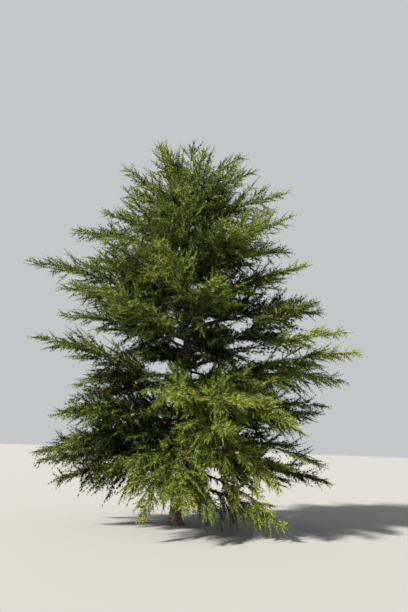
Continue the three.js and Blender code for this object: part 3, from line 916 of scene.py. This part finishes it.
def bough_lines(limbs):
    """The bare part of each main limb, from inside the trunk, with a collar where it leaves it."""
    paths, radii = [], []
    for limb in compress(limbs, of_each(limbs, "bough")):
        count = int(limb["bough"] * AXIS_STEPS) + 2
        path, length = even_steps(limb["axis"][:count], BOUGH_BENDS)
        path, length = even_steps(path, int(length / BOUGH_RING_STEP))
        along = np.linspace(0, length, len(path))
        radius = lerp(limb["base_radius"], STEM_TIP_RADIUS, along / limb["length"])
        collar = np.clip((along - limb["base_radius"]) / COLLAR_LENGTH, 0, 1)
        radius = radius * (1 + COLLAR_SWELL * (1 - smooth(collar)))
        paths.append(path[None])
        radii.append(radius[None])
    return paths, radii


def needle_tree():
    """Tufts of needles at even spacing along lines, each turned by chance about its shoot."""
    inputs = {"Tuft": "Object", "Spacing": "Float", "Smallest": "Float", "Largest": "Float"}
    inputs = {**inputs, "Seed": "Int", "Needles": "Material"}
    tree, given = new_tree("needle_tufts", inputs)
    curve = new_node(tree, "GeometryNodeMeshToCurve")
    points = new_node(tree, "GeometryNodeCurveToPoints", mode="LENGTH")
    tuft = new_node(tree, "GeometryNodeObjectInfo")
    turn = new_node(tree, "FunctionNodeRandomValue")
    socket(turn.inputs, "Max_001").default_value = math.tau
    about = new_node(tree, "FunctionNodeAxisAngleToRotation", {"Axis": (0, 0, 1)})
    turned = new_node(tree, "FunctionNodeRotateRotation", rotation_space="LOCAL")
    size = new_node(tree, "FunctionNodeRandomValue")
    along = new_node(tree, "GeometryNodeInputNamedAttribute", {"Name": "along"})
    slimming = {"From Min": TIP_SLIM_START, "To Min": 1, "To Max": TIP_SLIM}
    slimmer = new_node(tree, "ShaderNodeMapRange", slimming)
    sides = new_node(tree, "ShaderNodeCombineXYZ", {"Z": 1})
    scaled = new_node(tree, "ShaderNodeVectorMath", operation="SCALE")
    placed = new_node(tree, "GeometryNodeInstanceOnPoints")
    connect(
        tree,
        (given, curve, "Mesh"),
        (curve, points, "Curve"),
        (given, "Spacing", points, "Length"),
        (given, "Tuft", tuft, "Object"),
        (given, "Seed", turn, "Seed"),
        (given, "Seed", size, "Seed"),
        (points, "Rotation", turned, "Rotation"),
        (about, turned, "Rotate By"),
        (points, placed, "Points"),
        (tuft, "Geometry", placed, "Instance"),
        (turned, placed, "Rotation"),
        (along, slimmer, "Value"),
        (slimmer, sides, "X"),
        (slimmer, sides, "Y"),
        (sides, scaled, 0),
        (scaled, placed, "Scale"),
    )
    tree.links.new(given.outputs["Smallest"], socket(size.inputs, "Min_001"))
    tree.links.new(given.outputs["Largest"], socket(size.inputs, "Max_001"))
    tree.links.new(socket(turn.outputs, "Value_001"), about.inputs["Angle"])
    tree.links.new(socket(size.outputs, "Value_001"), scaled.inputs["Scale"])
    return end_tree(tree, given, placed, "Needles")


def socket(sockets, identifier):
    """One of several sockets that share a name."""
    return next(item for item in sockets if item.identifier == identifier)


def made_by(tree, piece, values):
    """Runs a tree on a piece with the given inputs and keeps the plain mesh that it makes."""
    modifier = piece.modifiers.new(tree.name, "NODES")
    modifier.node_group = tree
    sockets = {item.name: item.identifier for item in tree.interface.items_tree if item.in_out == "INPUT"}
    for label, value in values.items():
        modifier[sockets[label]] = value
    bpy.context.view_layer.update()
    evaluated = piece.evaluated_get(bpy.context.evaluated_depsgraph_get())
    mesh = bpy.data.meshes.new_from_object(evaluated)
    piece.modifiers.remove(modifier)
    old = piece.data
    piece.data = mesh
    bpy.data.meshes.remove(old)
    mesh.name = piece.name
    for name in ("thickness", "radius", "along"):
        if name in mesh.attributes:
            mesh.attributes.remove(mesh.attributes[name])
    return piece


def tuft_mesh():
    """One tuft: pointed needles that stand on the shoot's bark and lean forward along it."""
    corners, faces = [], []
    for place in range(TUFT_NEEDLES):
        angle = math.tau * (place + NEEDLE_STRAY * spread(5, place)) / TUFT_NEEDLES
        lean = math.radians(NEEDLE_LEANS[place % 2] + NEEDLE_LEAN_STRAY * spread(7, place))
        twist = math.radians(NEEDLE_TWIST * spread(11, place))
        length = NEEDLE_LENGTH * (1 + NEEDLE_LENGTH_STRAY * spread(9, place))
        out = np.array([math.cos(angle), math.sin(angle), 0])
        around = np.array([-math.sin(angle), math.cos(angle), 0])
        heading = out * math.sin(lean) + np.array([0, 0, math.cos(lean)])
        across = around * math.cos(twist) + np.cross(heading, around) * math.sin(twist)
        root = out * SHOOT_RADIUS
        half = across * NEEDLE_WIDTH / 2
        faces.append(tuple(range(len(corners), len(corners) + 3)))
        corners += [root - half, root + half, root + heading * length]
    mesh = bpy.data.meshes.new("needle_tuft")
    mesh.from_pydata([tuple(map(float, corner)) for corner in corners], [], faces)
    mesh.update()
    return bpy.data.objects.new("needle_tuft", mesh)


def bark_material(name):
    """Mottled plates, with dark cracks where bark_tree sinks them, rough and finely wrinkled, and painted
    shade that darkens them up the wood under the crown.
    """
    plate, crack, width, stretch, _, (start, end, left) = BARKS[name]
    material = plain_material(name, plate, BARK_ROUGHNESS)
    tree = material.node_tree
    shader = tree.nodes["Principled BSDF"]
    place = new_node(tree, "ShaderNodeTexCoord")
    squeezed, plates = bark_plates(tree, place, "Object")
    squeezed.inputs[1].default_value = (1, 1, 1 / stretch)
    plates.inputs["Scale"].default_value = 1 / width
    edge = {"From Max": CRACK_SHADE_WIDTH, "To Min": CRACK_LIGHT}
    inside = new_node(tree, "ShaderNodeMapRange", edge, interpolation_type="SMOOTHSTEP")
    mottling = {"Scale": MOTTLE_SCALE / width, "Detail": MOTTLE_DETAIL, "Roughness": MOTTLE_ROUGHNESS}
    mottle = new_node(tree, "ShaderNodeTexNoise", mottling)
    both = new_node(tree, "ShaderNodeMath", operation="MULTIPLY")
    shades = new_node(tree, "ShaderNodeValToRGB")
    for stop, position, colour in zip(shades.color_ramp.elements, SHADE_STOPS, (crack, plate)):
        stop.position = position
        stop.color = (*colour, 1)
    # Painted shade: the colour darkens from the given height up the wood, where the crown shades the trunk.
    parts = new_node(tree, "ShaderNodeSeparateXYZ")
    painted_shade_range = {"From Min": start, "From Max": end, "To Min": 1, "To Max": left}
    painted_shade_factor = new_node(tree, "ShaderNodeMapRange", painted_shade_range, interpolation_type="SMOOTHSTEP")
    painted_shade_colour = new_node(tree, "ShaderNodeVectorMath", operation="SCALE")
    wrinkling = {"Scale": WRINKLE_SCALE / width, "Detail": WRINKLE_DETAIL}
    wrinkles = new_node(tree, "ShaderNodeTexNoise", wrinkling)
    bump = new_node(tree, "ShaderNodeBump", {"Strength": WRINKLE_STRENGTH, "Distance": WRINKLE_DEPTH * width})
    connect(
        tree,
        (plates, inside, "Value"),
        (squeezed, mottle, "Vector"),
        (inside, both, 0),
        (mottle, both, 1),
        (both, shades, "Fac"),
        (place, "Object", parts, "Vector"),
        (parts, "Z", painted_shade_factor, "Value"),
        (shades, painted_shade_colour, 0),
        (painted_shade_factor, painted_shade_colour, "Scale"),
        (painted_shade_colour, shader, "Base Color"),
        (squeezed, wrinkles, "Vector"),
        (wrinkles, bump, "Height"),
        (bump, shader, "Normal"),
    )
    return material


def plain_material(name, colour, roughness):
    material = bpy.data.materials.new(name)
    material.use_nodes = True
    shader = material.node_tree.nodes["Principled BSDF"]
    shader.inputs["Base Color"].default_value = (*colour, 1)
    shader.inputs["Roughness"].default_value = roughness
    return material


def needle_material(tint, colour):
    material = plain_material(f"{tint}_needles", colour, NEEDLE_ROUGHNESS)
    shader = material.node_tree.nodes["Principled BSDF"]
    shader.inputs["Specular IOR Level"].default_value = NEEDLE_SHINE
    return material


def tint_of(limbs, shoots):
    """Which tint each shoot has: deep near the trunk and low, bright outside and high, pale at some outer
    tips; partly own colour, partly painted shade and sunlight.
    """
    reach = of_each(limbs, "crown_reach")[shoots["owner"]]
    middle = shoots["paths"].mean(1)
    out = np.linalg.norm((middle - trunk_middle(middle[:, 2]))[:, :2], axis=1) / reach
    # Painted light and shade: the limb's painted light, and tints that rise with reach and height, partly the
    # needles' own colour and partly painted shade and sunlight.
    tone = of_each(limbs, "tone")[shoots["owner"]]
    place = AGE_AND_SHADE_BY_REACH * out**2 + GROWTH_AND_LIGHT_BY_HEIGHT * middle[:, 2] / CROWN_TOP + tone
    stray = TINT_BRANCH_STRAY * spread(shoots["row"], 11)
    tint = np.digitize(place + stray + TINT_SHOOT_STRAY * spread(shoots["seed"], 12), TINT_STEPS)
    ochre = (chance(shoots["seed"], 13) < OCHRE_SHARE * out) & ~shoots["last"]
    return np.where(ochre, len(NEEDLE_TINTS) - 1, tint)


def wood_lines(limbs, branches, shoots, here):
    """Lines and radii of the wood on the limbs that are here: its stems, branches and shoots."""
    stems, thick = [], []
    share = np.linspace(0, 1, LIMB_STEPS + 1)
    for limb in compress(limbs, here):
        stem_share = min(1, limb["length"] / limb["reach"])
        first = int(limb["bough"] * stem_share * LIMB_STEPS)
        stem = lerp(limb["base_radius"], STEM_TIP_RADIUS, share / stem_share)
        spray = lerp(STEM_TIP_RADIUS, TIP_RADIUS, (share - stem_share) / (1 - stem_share))
        stems.append(limb["line"][None, first:])
        thick.append(np.where(share < stem_share, stem, spray)[None, first:])
    mine = here[branches["owner"]] & (branches["radius"] > 0)
    taper = np.linspace(0, 1, BRANCH_STEPS + 1)
    branch_radius = lerp(branches["radius"][mine][:, None], TIP_RADIUS, taper)
    own = here[shoots["owner"]]
    shoot_radius = np.tile(np.linspace(SHOOT_RADIUS, 0, SHOOT_STEPS + 1), (own.sum(), 1))
    branch_piece = ([branches["paths"][mine]], [branch_radius])
    return (stems, thick), branch_piece, ([shoots["paths"][own]], [shoot_radius])


def with_relief(relief, piece, bark):
    """The piece with the relief of its bark."""
    _, _, width, stretch, depth, _ = BARKS[bark.name]
    values = {"Depth": depth, "Plate Width": width, "Plate Stretch": stretch, "Bark": bark}
    return made_by(relief, piece, values)


def joined(name, pieces):
    """Several plain pieces as one, under a new name."""
    with bpy.context.temp_override(
        active_object=pieces[0], selected_objects=pieces, selected_editable_objects=pieces
    ):
        bpy.ops.object.join()
    pieces[0].name = name
    pieces[0].data.name = name
    return pieces[0]


limbs = grow_limbs()
branches = grow_branches(limbs)
shoots = grow_shoots(limbs, branches)
tints = tint_of(limbs, shoots)
tiers = of_each(limbs, "tier")

barks = {name: bark_material(name) for name in BARKS}
needle_materials = [needle_material(tint, colour) for tint, colour in NEEDLE_TINTS.items()]

wood = wood_tree()
needles = needle_tree()
tuft = tuft_mesh()
for region, (low, high) in REGIONS.items():
    here = (tiers >= low) & (tiers < high)
    nodes = [f"{limb['name']}_foliage" for limb in compress(limbs, here)]
    nodes = [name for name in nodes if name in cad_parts]
    parts = []
    for sides, (paths, radii) in zip(WOOD_SIDES, wood_lines(limbs, branches, shoots, here)):
        line = line_object(f"twigs_{region}_{len(parts)}", paths, radii)
        parts.append(made_by(wood, line, {"Sides": sides, "Bark": barks["twig_bark"]}))
    twigs = joined(f"twigs_{region}", parts)
    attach(twigs, "root")
    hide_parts(*nodes)
    for number, tint in enumerate(NEEDLE_TINTS):
        paths = shoots["paths"][here[shoots["owner"]] & (tints == number)]
        along = np.tile(np.linspace(0, 1, SHOOT_STEPS + 1), (len(paths), 1))
        line = line_object(f"needles_{region}_{tint}", [paths], [along], "along")
        scale = DEEP_SCALE if tint == "deep" else 1
        values = {
            "Tuft": tuft,
            "Spacing": DEEP_SPACING if tint == "deep" else TUFT_SPACING,
            "Smallest": TUFT_SIZES[0] * scale,
            "Largest": TUFT_SIZES[1] * scale,
            "Seed": number + SEEDS_PER_TIER * low,
            "Needles": needle_materials[number],
        }
        piece = made_by(needles, line, values)
        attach(piece, "root")
        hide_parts(*nodes)
bpy.data.objects.remove(tuft)

relief = bark_tree()
trunk = with_relief(relief, trunk_object(), barks["trunk_bark"])
for corner in trunk.data.vertices:
    corner.co.z = min(max(corner.co.z, 0), TRUNK_TOP)
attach(trunk, "root")
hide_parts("trunk")

bough_wood = {"Sides": BOUGH_SIDES, "Bark": barks["bough_bark"]}
boughs = made_by(wood, line_object("bough_bark", *bough_lines(limbs)), bough_wood)
boughs = with_relief(relief, boughs, barks["bough_bark"])
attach(boughs, "root")
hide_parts(*[f"{limb['name']}_bough" for limb in limbs if limb["bough"]])

floor_mesh = bpy.data.meshes.new("floor")
corners = [(x * FLOOR_HALF, y * FLOOR_HALF, -FLOOR_DEPTH) for x, y in ((-1, -1), (1, -1), (1, 1), (-1, 1))]
floor_mesh.from_pydata(corners, [], [(0, 1, 2, 3)])
floor_mesh.materials.append(plain_material("pale_floor", FLOOR_COLOUR, FLOOR_ROUGHNESS))
floor = in_scene("floor", floor_mesh)

sun = bpy.data.lights.new("key_light", "SUN")
sun.energy = SUN_STRENGTH
sun.angle = math.radians(SUN_WIDTH)
sun.color = SUN_COLOUR
key = in_scene("key_light", sun)
key.rotation_euler = Vector(SUN_FROM).to_track_quat("Z", "Y").to_euler()

world = bpy.data.worlds.new("studio")
bpy.context.scene.world = world
world.use_nodes = True
sky = world.node_tree.nodes["Background"]
sky.inputs["Color"].default_value = (*SKY_COLOUR, 1)
sky.inputs["Strength"].default_value = SKY_STRENGTH

lens = bpy.data.cameras.new("viewer")
lens.sensor_width = SENSOR
lens.lens = SENSOR * FOCAL_PIXELS / FRAME_HEIGHT
lens.clip_end = FAR_CLIP
camera = in_scene("viewer", lens)
tilt, yaw, roll = (math.radians(angle) for angle in (CAMERA_TILT, CAMERA_YAW, CAMERA_ROLL))
forward = Vector((math.sin(yaw) * math.cos(tilt), math.cos(yaw) * math.cos(tilt), math.sin(tilt)))
level = Vector((math.cos(yaw), -math.sin(yaw), 0))
above = level.cross(forward)
across = level * math.cos(roll) + above * math.sin(roll)
upward = above * math.cos(roll) - level * math.sin(roll)
turn = Matrix((across, upward, -forward)).transposed().to_4x4()
camera.matrix_world = Matrix.Translation(Vector(EYE)) @ turn
bpy.context.scene.camera = camera

bpy.context.scene.view_settings.view_transform = "Standard"
